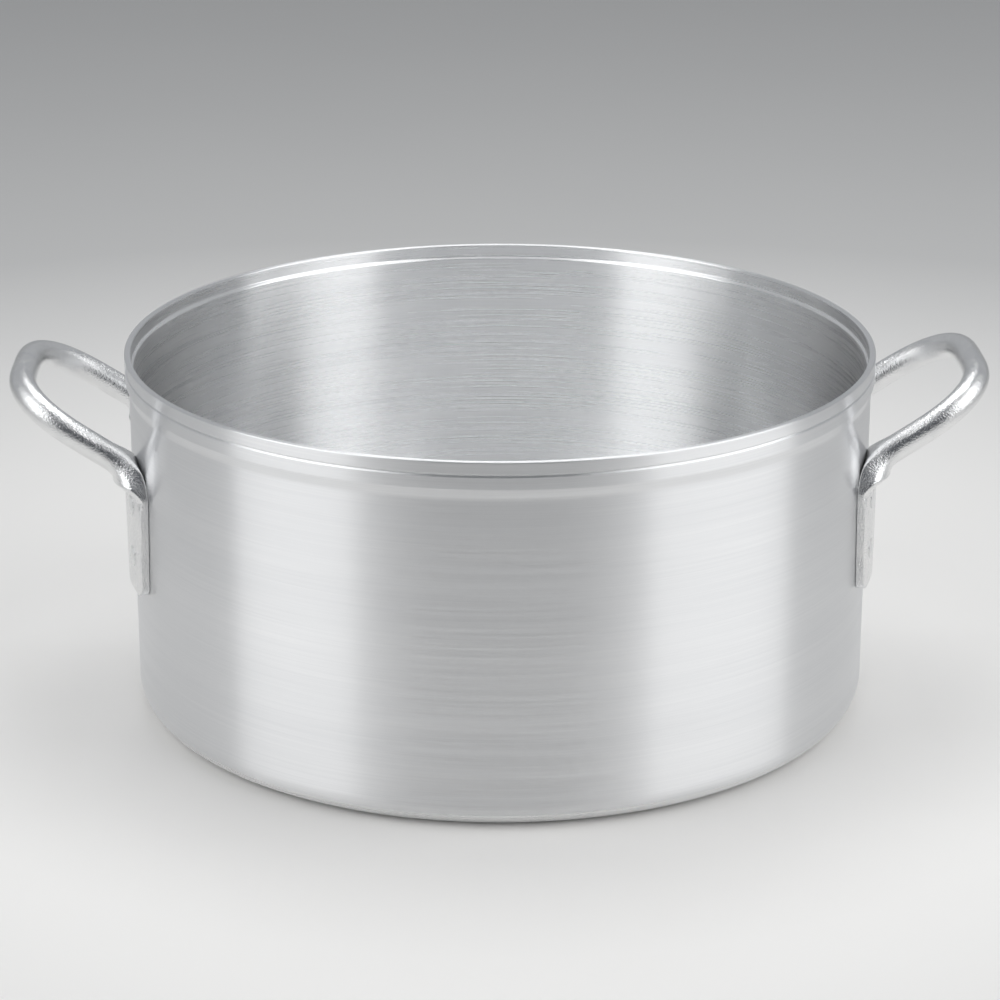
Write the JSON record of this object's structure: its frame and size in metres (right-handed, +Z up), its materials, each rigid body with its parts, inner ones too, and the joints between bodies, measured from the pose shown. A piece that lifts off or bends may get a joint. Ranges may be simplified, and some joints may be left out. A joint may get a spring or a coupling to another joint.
{
  "type": "stock pot",
  "caption": "Open round cooking pot in thick aluminium, with a banded rim and looped rod handles riveted to its wall.",
  "frame": {"origin": "centre of the flat underside", "axes": "+Z up the pot's axis, +X out through the middle of the right handle, -Y towards the front"},
  "size_m": [0.4686, 0.36, 0.175],
  "materials": {
    "pot_aluminium": "satin, turned on a lathe",
    "handle_plating": "bright plated steel rod with a slight mottle",
    "rivet_aluminium": "satin, pressed"
  },
  "bodies": {
    "root": {"pot_body": "pot_aluminium", "handle_left": "handle_plating", "handle_right": "handle_plating", "rivet_left_front_upper": "rivet_aluminium", "rivet_left_front_lower": "rivet_aluminium", "rivet_left_back_upper": "rivet_aluminium", "rivet_left_back_lower": "rivet_aluminium", "rivet_right_front_upper": "rivet_aluminium", "rivet_right_front_lower": "rivet_aluminium", "rivet_right_back_upper": "rivet_aluminium", "rivet_right_back_lower": "rivet_aluminium"}
  },
  "joints": []
}
